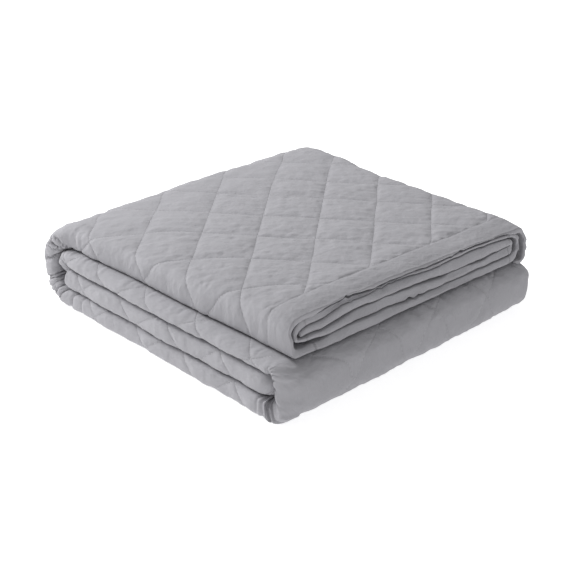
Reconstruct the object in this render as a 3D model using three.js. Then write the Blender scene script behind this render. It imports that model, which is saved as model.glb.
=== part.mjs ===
// A quilted cooling blanket, folded for the shelf: one sheet of thin padded cloth with diamond seams.
//
// The sheet is rolled flat twice. Its long side is rolled into a strip of five layers, with one long
// edge hanging free at the right and the other inside. The strip is then rolled end over end into a
// stack of four, with its hemmed outer end on top at the front.
//
// Millimetres. +X runs across the strip, +Y along it from the front to the back, +Z up from the floor.
// A point of the sheet is found in three steps: its place in the strip's section, the strip's bend
// through the stack, and the settling of the stack.
import * as THREE from "three";

// Cloth and folds
const CLOTH = 3.6; // thickness of the cloth at a seam
const LAYER = 4.6; // from one layer of the strip to the next
const STRIP = 5 * LAYER; // thickness of the folded strip
const GAP = 1; // between one strip and the next in the stack
const TIER = STRIP + GAP;

// Ends of the stack: the centres of its bends and the two ends of the strip
const BACK = 159;
const FRONT = -171;
const HEM_END = -194;
const INNER_END = -173;
const INNER_ROUND = 16; // how far back the left turn rounds off at the inner end

// Hem at the strip's outer end
const HEM = 34; // width, from the edge to the row of stitching
const HEM_SLANT = -0.03; // the edge runs forwards to the right
const HEM_DROP = 4; // how far the top layer falls at the edge
const HEM_WAVE = 2; // how far the edge wanders to and fro
const HEM_LEAN = 8; // how far the top layer's edge lies behind the lowest
const HEM_PUFF = 1.4; // rise of the padding inside the hem

// Quilting: the rise between seams, one crossing of seams on the top, and the steps from it
const PUFF = 2.8;
const TURN_PUFF = 0.3; // share of the rise that is left where the cloth turns down
const BEND_PUFF = 0.4; // share that is left round the bends of the stack
const CROSSING = [-59.3, -100];
const STEP_A = [45.4, 39.1];
const STEP_B = [-36.2, 50.9];

// The strip's section as stretches of the cloth's middle line, from its free edge inwards. Levels and
// radii count layers, angles are degrees from +X, and the cloth's outer side is outside every turn.
const ROLL = [
  { kind: "turn", at: "right", level: 2, radius: 2.5, from: -35, to: 90, steps: 4 },
  { kind: "flat", towards: "left", level: 4.5 },
  { kind: "turn", at: "left", level: 2.5, radius: 2, from: 90, to: 270, steps: 6 },
  { kind: "flat", towards: "right", level: 0.5 },
  { kind: "turn", at: "right", level: 2, radius: 1.5, from: -90, to: 90, steps: 5 },
  { kind: "flat", towards: "left", level: 3.5 },
  { kind: "turn", at: "left", level: 2.5, radius: 1, from: 90, to: 270, steps: 4 },
  { kind: "flat", towards: "right", level: 1.5 },
  { kind: "turn", at: "right", level: 2, radius: 0.5, from: -90, to: 90, steps: 3 },
  { kind: "flat", towards: "left", level: 2.5 },
];
const TOP = 1; // the outermost flat stretch of ROLL
const FLAT_PARTS = [0, 0.46, 0.88, 1]; // parts of a flat stretch, closer together near its left end

// The strip's way through the stack, from the hem inwards. A run lies with its inner face at a level,
// facing up (1) or down (-1). A bend starts at an angle from +Y and turns half round. The left and right
// edges are the centres of the strip's own turns. Reach is how wide the left turn is spread. Square and
// under are how round its outer and inner halves are, with 1 for an ellipse and less for a squarer turn.
// A bend tucks the left turn in, has its own corner there, and goes round on a path of its own squareness.
const RUN_STEPS = 9;
const STACK = [
  { kind: "run", from: HEM_END, to: BACK, level: 3 * TIER, facing: 1, left: [-141.5, -158],
    right: [172.5, 182.5], reach: [3.2, 1.9], square: [0.66, 0.45], under: [0.25, 0.3] },
  { kind: "bend", centre: BACK, angle: 90, tuck: -5.5, corner: 0.42, path: 0.82, steps: 9 },
  { kind: "run", from: BACK, to: FRONT, level: STRIP, facing: -1, left: [-174.5, -179.5],
    right: [179.5, 179], reach: [1.4, 1.3], square: [0.5, 0.5], under: [0.55, 0.55] },
  { kind: "bend", centre: FRONT, angle: -90, tuck: -2, corner: 0.42, path: 0.7, steps: 8 },
  { kind: "run", from: FRONT, to: BACK, level: 2 * TIER, facing: 1, left: [-168.3, -168],
    right: [178, 177.5], reach: [2.4, 2.1], square: [0.8, 0.75], under: [0.42, 0.42] },
  { kind: "bend", centre: BACK, angle: 90, tuck: 1, corner: 0.7, path: 0.9, steps: 5 },
  { kind: "run", from: BACK, to: INNER_END, level: 2 * TIER - GAP, facing: -1, left: [-176.5, -178.5],
    right: [177.5, 175.5], reach: [1.2, 1.3], square: [0.42, 0.42], under: [0.55, 0.55] },
];
const WAVER = 0.7; // how far the left and right edges wander

// The top strip's free edge flares to the right near the back, and the stack's back slants there
const FLARE = 12;
const FLARE_FROM = 255; // along the strip from the hem
const FLARE_TO = 305;
const FLARE_FADE = 100; // past the start of the back bend
const BACK_SLANT = 8; // how far forward the back lies at the right

// The front bend rounds off towards its left edge, less at the floor than above
const CORNER_EDGE = -194;
const CORNER_ROUND = 36;
const CORNER_LEAST = 0.2; // share of the bend's depth that is left at the edge
const CORNER_LOW = 1; // the same at the floor
const CORNER_LEAN = 9; // how far the bend's inner layers lean in from the edge

// Heights of the strips' faces at the corners of the stack: evenly laid, then as they have settled
const HALF_X = 198;
const HALF_Y = 208;
const MIDDLE_X = 7.5; // the middle of the stack's width
const SPARE = (LAYER - CLOTH) / 2;
const EVEN = [SPARE, TIER - GAP / 2, 2 * TIER - GAP / 2, 3 * TIER - GAP / 2, 4 * TIER - GAP - SPARE];
const SETTLED = {
  frontLeft: [0, 23, 49.5, 65.5, 111],
  frontRight: [0, 20, 41, 62, 104],
  backLeft: [0, 24, 48, 69.5, 93],
  backRight: [0, 22, 45, 67, 94],
};

const { lerp, clamp, smoothstep, degToRad } = THREE.MathUtils;
const bent = (ratio, power) => Math.sign(ratio) * Math.abs(ratio) ** power;
const spread = (from, to, steps) => Array.from({ length: steps + 1 }, (_, i) => lerp(from, to, i / steps));

// Where each run and bend starts, measured along the strip's outer face
let stripLength = 0;
for (const [i, piece] of STACK.entries()) {
  if (piece.kind === "bend") {
    const [before, after] = [STACK[i - 1], STACK[i + 1]];
    piece.level = (before.level + after.level) / 2;
    piece.radius = Math.abs(before.level - after.level) / 2;
    piece.length = Math.PI * (piece.radius + STRIP);
    for (const edge of ["left", "right", "reach", "square", "under"]) {
      piece[edge] = [before[edge][1], after[edge][0]];
    }
  } else {
    piece.length = Math.abs(piece.to - piece.from);
  }
  piece.start = stripLength;
  stripLength += piece.length;
}
const [TOP_RUN, BACK_BEND, , FRONT_BEND] = STACK;

// The strip at a distance from its hemmed end: its inner face, its outward direction and its edges
function stripAt(along) {
  const piece = STACK.find((item) => along <= item.start + item.length) ?? STACK.at(-1);
  const part = clamp((along - piece.start) / piece.length, 0, 1);
  const waver = WAVER * (Math.sin(along / 31) + 0.6 * Math.sin(along / 13.7 + 1));
  const inner = clamp(1 - (stripLength - along) / INNER_ROUND, 0, 1);
  const flare = smoothstep(along, FLARE_FROM, FLARE_TO)
    * (1 - smoothstep(along, BACK_BEND.start, BACK_BEND.start + FLARE_FADE));
  const strip = {
    piece,
    part,
    left: lerp(...piece.left, part) + waver + INNER_ROUND * (1 - Math.sqrt(1 - 0.96 * inner ** 2)),
    right: lerp(...piece.right, part) + FLARE * flare - waver,
    reach: lerp(...piece.reach, part),
    square: lerp(...piece.square, part),
    under: lerp(...piece.under, part),
    tuck: 0,
    lean: 0,
  };
  if (piece.kind === "run") {
    return { ...strip, y: lerp(piece.from, piece.to, part), z: piece.level, outY: 0, outZ: piece.facing };
  }
  const bend = Math.sin(Math.PI * part);
  strip.tuck = piece.tuck * bend;
  strip.lean = piece === FRONT_BEND ? CORNER_LEAN * bend : 0;
  strip.square = lerp(strip.square, piece.corner, bend);
  strip.under = lerp(strip.under, piece.corner, bend);
  const angle = degToRad(piece.angle - 180 * lerp(smoothstep(part, 0, 1), part, piece.path));
  const outY = bent(Math.cos(angle), piece.path);
  const outZ = bent(Math.sin(angle), piece.path);
  const y = piece.centre + piece.radius * outY;
  return { ...strip, y, z: piece.level + piece.radius * outZ, outY, outZ };
}

// How bare the strip's outer face is: its top and its bends show, the rest lies inside or underneath
function bareness(strip) {
  if (strip.piece === TOP_RUN) {
    return 1;
  }
  if (strip.piece === BACK_BEND) {
    return smoothstep(strip.outZ, -0.95, -0.5) * lerp(1, BEND_PUFF, smoothstep(strip.part, 0, 0.2));
  }
  return strip.piece === FRONT_BEND ? BEND_PUFF * smoothstep(-strip.outY, 0.3, 0.8) : 0;
}

const slant = (x, along) => HEM_SLANT * x * clamp(1 - along / TOP_RUN.length, 0, 1);
const det = STEP_A[0] * STEP_B[1] - STEP_A[1] * STEP_B[0];

// Rise of the padding over a point of the sheet
function padding(across, along) {
  if (along < HEM) {
    return HEM_PUFF * Math.sin((Math.PI * along) / HEM);
  }
  const dx = across - CROSSING[0];
  const dy = HEM_END + along + slant(across, along) - CROSSING[1];
  const a = (dx * STEP_B[1] - dy * STEP_B[0]) / det;
  const b = (dy * STEP_A[0] - dx * STEP_A[1]) / det;
  const [riseA, riseB] = [a, b].map((steps) => 1 - (1 - Math.abs(Math.sin(Math.PI * steps))) ** 2.5);
  return PUFF * riseA * riseB * smoothstep(along - HEM, 0, 12);
}

// A point of the strip's section, on the cloth's outer side (1) or inner side (-1)
function sectionPoint(stretch, part, side, strip, along) {
  const bare = bareness(strip);
  let offset = (side * CLOTH) / 2;
  if (stretch.kind === "flat") {
    const up = stretch.towards === "left" ? 1 : -1;
    const x = up > 0 ? lerp(strip.right, strip.left, part) : lerp(strip.left, strip.right, part);
    if (side > 0 && stretch === ROLL[TOP] && bare > 0) {
      offset += bare * padding(x, along);
    }
    return { x, depth: stretch.level * LAYER + up * offset };
  }
  const angle = degToRad(lerp(stretch.from, stretch.to, part));
  const radius = stretch.radius * LAYER;
  const wide = stretch.at === "left" ? radius * strip.reach - strip.tuck : radius;
  const half = angle < Math.PI ? strip.square : strip.under;
  const power = stretch.at === "left" ? half : 1;
  const outermost = stretch === ROLL[TOP - 1] || stretch === ROLL[TOP + 1];
  if (side > 0 && outermost) {
    const sideways = smoothstep(Math.abs(Math.cos(angle)), 0.3, 0.8);
    const shown = Math.max(TURN_PUFF * sideways, bare * Math.max(Math.sin(angle), 0) ** 8);
    const across = strip[stretch.at] - (angle - Math.PI / 2) * ((radius + wide) / 2);
    offset += shown * padding(across, along);
  }
  const [outX, outward] = [bent(Math.cos(angle), power), bent(Math.sin(angle), power)];
  const x = strip[stretch.at] + (wide + offset) * outX;
  return { x, depth: stretch.level * LAYER + (radius + offset) * outward };
}

// The stack's settled height over a point, from the height it would have if it lay even
function settled(x, y, z) {
  const across = clamp((x + HALF_X) / (2 * HALF_X), 0, 1);
  const back = clamp((y + HALF_Y) / (2 * HALF_Y), 0, 1);
  const heights = EVEN.map((_, i) => lerp(
    lerp(SETTLED.frontLeft[i], SETTLED.frontRight[i], across),
    lerp(SETTLED.backLeft[i], SETTLED.backRight[i], across),
    back,
  ));
  heights[4] -= HEM_DROP * (1 - smoothstep(y, HEM_END, HEM_END + 45));
  if (z >= EVEN[4]) {
    return heights[4] + z - EVEN[4];
  }
  const tier = Math.max(EVEN.findLastIndex((level) => level <= z), 0);
  return lerp(heights[tier], heights[tier + 1], (z - EVEN[tier]) / (EVEN[tier + 1] - EVEN[tier]));
}

// How much of the front bend's depth is left at a place across it and round it
function cornerPull(x, part) {
  const inside = clamp((x - CORNER_EDGE) / CORNER_ROUND, 0, 1);
  const least = lerp(CORNER_LOW, CORNER_LEAST, smoothstep(part, 0.12, 0.55));
  return lerp(least, 1, Math.sqrt(1 - (1 - inside) ** 2));
}

// A point of the cloth in the folded stack
function place(stretch, part, side, along) {
  const strip = stripAt(along);
  const { x: straight, depth } = sectionPoint(stretch, part, side, strip, along);
  const x = straight + strip.lean * (1 - depth / STRIP) * smoothstep(-straight, 0, 150);
  let y = strip.y + depth * strip.outY;
  if (strip.piece === FRONT_BEND) {
    y = FRONT + (y - FRONT) * cornerPull(x, strip.part);
  }
  y -= BACK_SLANT * smoothstep(x, 40, 190) * smoothstep(y, 60, 170);
  const z = strip.z + depth * strip.outZ;
  if (strip.piece === TOP_RUN) {
    const loose = 1 - smoothstep(along, 0, 50);
    const wave = HEM_WAVE * Math.sin(x / 80 + depth / 12);
    y += slant(x, along) + loose * (wave + (HEM_LEAN * depth) / STRIP);
  }
  const height = settled(x, y, z);
  return [x - MIDDLE_X, y, height < 1e-6 ? 0 : height];
}

// Triangles between scattered points inside a convex outline, each triangle's circle empty of points
function fillOutline(points) {
  const count = points.length;
  const all = [...points, [-1e5, -1e5], [1e5, -1e5], [0, 1e5]];
  const ring = (i, j, k) => {
    const [ax, ay] = all[i];
    const [bx, by] = [all[j][0] - ax, all[j][1] - ay];
    const [cx, cy] = [all[k][0] - ax, all[k][1] - ay];
    const twice = 2 * (bx * cy - by * cx);
    const ux = (cy * (bx * bx + by * by) - by * (cx * cx + cy * cy)) / twice;
    const uy = (bx * (cx * cx + cy * cy) - cx * (bx * bx + by * by)) / twice;
    return { corners: [i, j, k], x: ax + ux, y: ay + uy, reach: ux * ux + uy * uy };
  };
  let rings = [ring(count, count + 1, count + 2)];
  for (let p = 0; p < count; p += 1) {
    const rim = new Map();
    rings = rings.filter(({ corners, x, y, reach }) => {
      if ((all[p][0] - x) ** 2 + (all[p][1] - y) ** 2 >= reach) {
        return true;
      }
      for (const [i, j] of [[0, 1], [1, 2], [2, 0]].map(([m, n]) => [corners[m], corners[n]])) {
        if (!rim.delete(`${j} ${i}`)) {
          rim.set(`${i} ${j}`, [i, j]);
        }
      }
      return false;
    });
    rings.push(...[...rim.values()].map(([i, j]) => ring(i, j, p)));
  }
  return rings.map((item) => item.corners).filter((corners) => corners.every((i) => i < count));
}

// Stops along the strip: the same places in every run, closer in the bends and at the hem
const common = spread(FRONT, BACK, RUN_STEPS);
const stops = [0];
for (const piece of STACK) {
  let inside;
  if (piece.kind === "bend") {
    inside = spread(0, piece.length, piece.steps);
  } else {
    const places = [...common, piece.to];
    if (piece === TOP_RUN) {
      places.push(HEM_END + 8, HEM_END + HEM);
    } else if (piece === STACK.at(-1)) {
      places.push(INNER_END + 3, INNER_END + 8);
    }
    inside = places.map((y) => Math.abs(y - piece.from)).sort((p, q) => p - q);
  }
  for (const distance of inside) {
    if (piece.start + distance > stops.at(-1) + 0.5) {
      stops.push(piece.start + distance);
    }
  }
}

// Marks along the section, from the free edge inwards
function partsOf({ kind, towards, steps }) {
  if (kind === "turn") {
    return spread(0, 1, steps);
  }
  return towards === "left" ? FLAT_PARTS : FLAT_PARTS.map((part) => 1 - part).reverse();
}
const marks = ROLL.flatMap((stretch, i) => partsOf(stretch)
  .slice(0, i === ROLL.length - 1 ? undefined : -1)
  .map((part) => ({ stretch, part })));
marks.at(-1).part = 0.97;

// The section's outline goes in along the outer side of the cloth and back along its inner side
const outline = [
  ...marks.map((mark) => ({ ...mark, side: 1 })),
  ...marks.map((mark) => ({ ...mark, side: -1 })).reverse(),
];
const points = [];
const faces = [];
const at = (k, j) => j * outline.length + (k % outline.length);
for (const along of stops) {
  for (const { stretch, part, side } of outline) {
    points.push(place(stretch, part, side, along));
  }
}

// The bare faces that are quilted point by point, as ranges of stops
const stopAt = (distance) => stops.findIndex((along) => Math.abs(along - distance) < 0.6);
const QUILTED = [
  { from: 0, to: stopAt(BACK_BEND.start + BACK_BEND.length) },
  { from: stopAt(FRONT_BEND.start), to: stopAt(FRONT_BEND.start + FRONT_BEND.length) },
];
const firstTop = marks.findIndex((mark) => mark.stretch === ROLL[TOP]);
const lastTop = firstTop + FLAT_PARTS.length - 1;
const isQuilted = (k, j) => k >= firstTop && k < lastTop
  && QUILTED.some(({ from, to }) => j >= from && j < to);

// Walls of the cloth between one stop and the next, each quad cut along the same way in plan
for (let j = 0; j < stops.length - 1; j += 1) {
  for (let k = 0; k < outline.length; k += 1) {
    if (!isQuilted(k, j)) {
      const [a, b, c, d] = [at(k, j), at(k, j + 1), at(k + 1, j + 1), at(k + 1, j)];
      const along = (points[c][0] - points[a][0]) * (points[c][1] - points[a][1]);
      const cross = (points[d][0] - points[b][0]) * (points[d][1] - points[b][1]);
      faces.push(...(along >= cross ? [[a, b, c], [a, c, d]] : [[a, b, d], [b, c, d]]));
    }
  }
}

// The cloth's two cut ends, from its outer side to its inner side
for (const j of [0, stops.length - 1]) {
  for (let m = 0; m < marks.length - 1; m += 1) {
    const back = outline.length - 1 - m;
    const corners = [at(m, j), at(m + 1, j), at(back - 1, j), at(back, j)];
    const [a, b, c, d] = j === 0 ? corners : corners.reverse();
    faces.push([a, b, c], [a, c, d]);
  }
}

// Quilted faces: points on the seams, between them and along the hem's stitching
const CELL_POINTS = [
  [0, 0], [0.25, 0], [0.5, 0], [0.75, 0], [0, 0.25], [0, 0.5], [0, 0.75], [0.5, 0.5],
  [0.17, 0.17], [0.5, 0.17], [0.83, 0.17], [0.17, 0.5],
  [0.83, 0.5], [0.17, 0.83], [0.5, 0.83], [0.83, 0.83],
];
const MARGIN = 7;
const ROW_STEPS = 12; // points across each stop of a bend
const ROW_CLEAR = 4;
const bendStops = stops.filter((along) => [BACK_BEND, FRONT_BEND].some(({ start, length }) => (
  along > start + 1 && along < start + length - 1)));
for (const { from, to } of QUILTED) {
  const [start, end] = [stops[from], stops[to]];
  const flat = [];
  const ids = [];
  const add = (part, along, id) => {
    const across = 1 - 2 * part;
    const onward = (2 * (along - start)) / (end - start) - 1;
    const bulge = [1.02 - 0.02 * onward ** 2, 1.02 - 0.02 * across ** 2];
    flat.push([HALF_X * across * bulge[0], ((end - start) / 2) * onward * bulge[1]]);
    ids.push(id ?? points.push(place(ROLL[TOP], part, 1, along)) - 1);
  };
  for (let j = from; j <= to; j += 1) {
    for (let k = firstTop; k <= lastTop; k += 1) {
      if (j === from || j === to || k === firstTop || k === lastTop) {
        add(FLAT_PARTS[k - firstTop], stops[j], at(k, j));
      }
    }
  }
  if (from === 0) {
    for (const [along, steps] of [[HEM / 2, 13], [HEM, 18]]) {
      spread(0, 1, steps).slice(1, -1).forEach((part) => add(part, along));
    }
  }
  for (const along of bendStops.filter((place) => place > start && place < end)) {
    spread(0, 1, ROW_STEPS).slice(1, -1).forEach((part) => add(part, along));
  }
  for (let i = -40; i <= 40; i += 1) {
    for (let j = -40; j <= 40; j += 1) {
      for (const [p, q] of CELL_POINTS) {
        const x = CROSSING[0] + (i + p) * STEP_A[0] + (j + q) * STEP_B[0];
        const ahead = CROSSING[1] + (i + p) * STEP_A[1] + (j + q) * STEP_B[1] - HEM_END;
        const onTop = (ahead - HEM_SLANT * x) / (1 - (HEM_SLANT * x) / TOP_RUN.length);
        const along = onTop < TOP_RUN.length ? onTop : ahead;
        const onRow = bendStops.some((place) => Math.abs(place - along) < ROW_CLEAR);
        if (onRow || along < Math.max(start, HEM) + MARGIN || along > end - MARGIN) {
          continue;
        }
        const { left, right } = stripAt(along);
        if (x > left + MARGIN && x < right - MARGIN) {
          add((right - x) / (right - left), along);
        }
      }
    }
  }
  faces.push(...fillOutline(flat).map((corners) => corners.map((i) => ids[i])));
}

const geometry = new THREE.BufferGeometry();
geometry.setAttribute("position", new THREE.Float32BufferAttribute(points.flat(), 3));
geometry.setIndex(faces.flat());
geometry.computeVertexNormals();
const cloth = new THREE.MeshStandardMaterial({ color: 0xa9a8ad, roughness: 0.85, metalness: 0 });
const blanket = new THREE.Mesh(geometry, cloth);
blanket.name = "blanket";
const part = new THREE.Group();
part.name = "cooling_blanket";
part.add(blanket);

export default part;
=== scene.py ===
import math

import bpy
import numpy as np
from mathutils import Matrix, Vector


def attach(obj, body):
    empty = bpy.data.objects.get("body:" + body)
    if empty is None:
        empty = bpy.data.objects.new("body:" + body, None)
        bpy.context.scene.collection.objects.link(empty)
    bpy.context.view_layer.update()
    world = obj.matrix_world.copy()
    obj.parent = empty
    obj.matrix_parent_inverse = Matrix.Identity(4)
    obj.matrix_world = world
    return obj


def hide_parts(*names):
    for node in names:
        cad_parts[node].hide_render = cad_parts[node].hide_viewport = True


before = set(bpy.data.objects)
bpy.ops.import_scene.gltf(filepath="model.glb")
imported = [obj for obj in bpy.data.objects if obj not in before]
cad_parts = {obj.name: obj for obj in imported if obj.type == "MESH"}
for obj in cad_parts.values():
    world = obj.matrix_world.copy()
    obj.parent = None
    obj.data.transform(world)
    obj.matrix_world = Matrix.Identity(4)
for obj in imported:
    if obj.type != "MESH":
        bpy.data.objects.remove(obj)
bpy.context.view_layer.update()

# A folded quilted blanket: one closed sheet on the folds of the part's solid.
#
# Lengths are millimetres until the mesh is made. A point of the sheet has a place in the strip's
# section (sigma, the number of a stretch and the part of it), a side of the cloth (1 outer, -1 inner)
# and a distance along the strip from its hem. The section gives x and the depth in the strip, the
# strip's way through the stack gives y and z, and the stack then settles. The quilting and the creases
# rise from there along the normals. A pair of numbers that goes to smooth() is where a change starts
# and where it is complete.

# Cloth and folds, as in the solid
CLOTH = 3.6  # thickness of the cloth at a seam
LAYER = 4.6  # from one layer of the strip to the next
LAYERS = 5
STRIP = LAYERS * LAYER
GAP = 1.0  # between one strip and the next in the stack
TIER = STRIP + GAP
BACK = 159.0  # centres of the stack's bends
FRONT = -171.0
HEM_END = -194.0  # the strip's two ends
INNER_END = -173.0
WAVER = 0.7  # how far the left and right edges wander
MIDDLE_X = 7.5  # the middle of the stack's width
INNER_ROUND = 16.0  # how far back the left turn rounds off at the inner end
INNER_REACH = 6.0  # how far the middle layers stick out at the inner end
INNER_REACH_FROM = 25.0

# Hem at the strip's outer end
HEM = 34.0  # width, from the edge to the row of stitching
HEM_SLANT = -0.03  # the edge runs forwards to the right
HEM_DROP = 4.0  # how far the top layer falls at the edge
HEM_DROP_BACK = 45.0
HEM_WAVE = 2.0  # how far the edge wanders to and fro
HEM_LEAN = 8.0  # how far the top layer's edge lies behind the lowest
HEM_LOOSE = 50.0  # how far back the wave and the lean reach
HEM_RAGGED = 30.0  # how far back the unevenness of the layers' ends reaches
HEM_SLACK = 60.0  # how far back the layers lie at uneven heights
HEM_THICKER = 0.3
HEM_LIP = 5.0  # where the edge thins
HEM_LIP_THINNER = 0.07
PRESSED_LAYER = 3  # the layer under the top one is pressed thinner
PRESSED_BY = 0.9
SHORTER_RIGHT = 16.0  # how far the inner layers' right ends lie back at the hem
WIDER_RIGHT = 1.3  # how much wider they turn there
LONGER_LEFT = 9.0  # how far the inner layers' left turns reach out at the hem
LONGEST_LEFT = 26.0  # the same for the innermost layer
TURN_BLEND = 25.0  # from the turns to the uneven heights
EDGE_CURL = 75.0  # degrees that the free edge curls further under at the hem
EDGE_CURL_BACK = (4, 60)
EDGE_WAVER = 7.0  # degrees

# Quilting: one crossing of seams on the top, the steps from it, and how far off each seam lies
CROSSING = (-59.3, -100.0)
STEP_A = (45.4, 39.1)
STEP_B = (-36.2, 50.9)
UNEVEN_A = ((-2, -2.0), (-1, -1.0), (0, -1.0), (1, 1.0), (2, 1.0), (3, 2.0))
UNEVEN_B = ((0, 0.0), (1, 1.0), (2, 3.0), (3, 5.0), (4, 0.0), (5, 5.0))
SEAM_TURN = 0.48  # how far the B seams bend aside at the left, in steps
SEAM_TURN_ACROSS = (98, 196)
SEAM_WANDER = 0.012

# The top strip's free edge flares near the back, and the stack's back slants and sags
FLARE = 12.0
FLARE_RISE = (212, 302)
FLARE_FADE = 100.0  # past the start of the back bend
BACK_SLANT = 8.0  # how far forward the back lies at the right
BACK_SLANT_X, BACK_SLANT_Y = (40, 190), (60, 170)
BACK_SAG = 4.5  # how far the back left corner sinks
BACK_SAG_X, BACK_SAG_Y, BACK_SAG_Z = (150, 195), (120, 185), (55, 90)

# The front bend rounds off towards the near corner, and its right end towards its top
CORNER_EDGE = -194.0
CORNER_ROUND = 36.0
CORNER_LEAST = 0.2  # share of the bend's depth that is left at the edge
CORNER_LOW = 1.0  # the same at the floor
CORNER_RISE = (0.12, 0.55)
CORNER_LEAN = 9.0  # how far the bend's inner layers lean in from the edge
CORNER_LEAN_X = (0, 150)
CORNER_WIDER = 3.0  # how far the left edge reaches out there
CORNER_BEFORE, CORNER_AFTER = 70.0, 40.0
# How far it is pressed down and drawn back: size, x, and the parts of the bend where it comes and goes
CORNER_PRESS = (5.0, (166, 190), (0, 0.15), (0.2, 0.5))
CORNER_BACK = (6.0, (150, 185), (0, 0.12), (0.2, 0.36))
PRESSED_LEAST = 0.25  # share of the height that is left under the press
RIGHT_ROUND = 12.0
RIGHT_ROUND_BACK = 120.0

# The inner bend's left turn is drawn in, and tucked in further in steps: share, parts of the bend
DRAWN_IN = 2.0
DRAWN_IN_NEAR = (20, 90)
TUCK_IN = 9.0
TUCK_STEPS = ((0.4, 0.47, 0.53), (0.6, 0.5, 0.72))
TUCK_ENDS = (0.84, 0.9)

# Heights of the strips' faces at the corners of the stack: evenly laid, then as they have settled
HALF_X = 198.0
HALF_Y = 208.0
SPARE = (LAYER - CLOTH) / 2
EVEN = (SPARE, TIER - GAP / 2, 2 * TIER - GAP / 2, 3 * TIER - GAP / 2, 4 * TIER - GAP - SPARE)
SETTLED = {
    "front_left": (0, 23, 49.5, 65.5, 111),
    "front_right": (0, 20, 41, 62, 104),
    "back_left": (0, 24, 48, 69.5, 93),
    "back_right": (0, 22, 45, 67, 94),
}

# Stretches of the strip's section from its free edge inwards: kind, edge or direction, level and radius
# in layers, degrees from and to, and steps
ROLL = [
    ("turn", "right", 2.0, 2.5, -35, 90, 4),
    ("flat", "left", 4.5, 0, 0, 0, 6),
    ("turn", "left", 2.5, 2.0, 90, 270, 6),
    ("flat", "right", 0.5, 0, 0, 0, 6),
    ("turn", "right", 2.0, 1.5, -90, 90, 5),
    ("flat", "left", 3.5, 0, 0, 0, 6),
    ("turn", "left", 2.5, 1.0, 90, 270, 4),
    ("flat", "right", 1.5, 0, 0, 0, 6),
    ("turn", "right", 2.0, 0.5, -90, 90, 3),
    ("flat", "left", 2.5, 0, 0, 0, 6),
]
DROOP, TOP, SHOULDER, UNDER, RIGHT_TURN, INNER = range(6)
INNERMOST = len(ROLL) - 1
LAST_SIGMA = 9.97  # the sheet's inner edge
SHEET_APART = 400.0  # sets the stretches apart in the sheet's own coordinate
HALVES_MEET = (math.radians(165), math.radians(200))  # between the halves of a left turn
TURN_SAMPLES = 121

# The hem's edge: how far each layer lies back, by level, and small kinks: depth, x, rise, width
HEM_LEVELS = (0.5, 1.5, 2.5, 3.5, 4.5)
HEM_BACK = (0.0, 1.6, 0.6, 2.6, 0.0)
KINK_DEPTH = 1.4  # how far a kink spreads across the layers
KINKS = [
    (21.2, -91, 2.2, 2.6),
    (19.6, -85, -1.8, 2.6),
    (21.2, -99, -1.2, 3.0),
    (18.6, -46, 1.2, 2.4),
    (18.6, -38, -1.2, 2.4),
    (18.6, -29, 1.1, 2.4),
    (6.0, -4, 1.9, 3.2),
    (5.6, 3, -1.3, 2.4),
    (5.4, 10, 1.4, 2.2),
    (20.4, 66, -1.4, 2.6),
    (21.4, 78, 2.2, 2.2),
]

# The layers' ends at the hem: x, then how high the four gaps between the layers lie there
HEM_GAPS = [
    (-165, 8.6, 10.0, 12.0, 18.5),
    (-148, 6.6, 9.7, 15.0, 20.8),
    (-120, 6.6, 10.8, 16.7, 21.3),
    (-98, 6.4, 11.6, 18.8, 21.6),
    (-75, 6.6, 12.5, 18.8, 21.0),
    (-50, 6.1, 12.8, 18.6, 20.1),
    (-20, 5.3, 12.1, 18.5, 20.3),
    (10, 4.8, 12.0, 18.2, 20.8),
    (45, 4.8, 10.1, 17.9, 20.5),
    (80, 4.7, 10.3, 18.3, 21.3),
    (110, 5.1, 10.4, 18.9, 21.8),
    (140, 5.9, 11.6, 18.9, 22.0),
    (160, 6.3, 12.6, 17.8, 21.6),
]

# The strip's way through the stack from the hem inwards. A run lies with its inner face at a level. A
# bend starts at an angle and turns half round. Left and right are the centres of the strip's own turns,
# reach is how wide the left turn is, and square and under are how round its two halves are. Half way
# round a bend the left turn is narrower by tuck and as round as corner, and path is how round the bend is.
STACK = [
    dict(kind="run", begin=HEM_END, end=BACK, level=3 * TIER, facing=1, steps=6, left=(-141.5, -158.0),
         right=(173.5, 182.5), reach=(3.2, 1.9), square=(0.66, 0.45), under=(0.25, 0.3)),
    dict(kind="bend", centre=BACK, angle=90, tuck=-5.5, corner=0.42, path=0.82, steps=9),
    dict(kind="run", begin=BACK, end=FRONT, level=STRIP, facing=-1, steps=5, left=(-174.5, -179.5),
         right=(179.5, 179.0), reach=(1.4, 1.3), square=(0.5, 0.5), under=(0.55, 0.55)),
    dict(kind="bend", centre=FRONT, angle=-90, tuck=-2, corner=0.42, path=0.7, steps=8),
    dict(kind="run", begin=FRONT, end=BACK, level=2 * TIER, facing=1, steps=5, left=(-168.3, -168.0),
         right=(178.0, 177.5), reach=(2.4, 2.1), square=(0.8, 0.75), under=(0.42, 0.42)),
    dict(kind="bend", centre=BACK, angle=90, tuck=1, corner=0.7, path=0.9, steps=5),
    dict(kind="run", begin=BACK, end=INNER_END, level=2 * TIER - GAP, facing=-1, steps=5,
         left=(-176.5, -178.5), right=(177.5, 175.5), reach=(1.2, 1.3), square=(0.42, 0.42),
         under=(0.55, 0.55)),
]
TOP_RUN, BACK_BEND, LOW_RUN, FRONT_BEND, SECOND_RUN, INNER_BEND, THIRD_RUN = range(7)
EDGES = ("left", "right", "reach", "square", "under")

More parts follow.
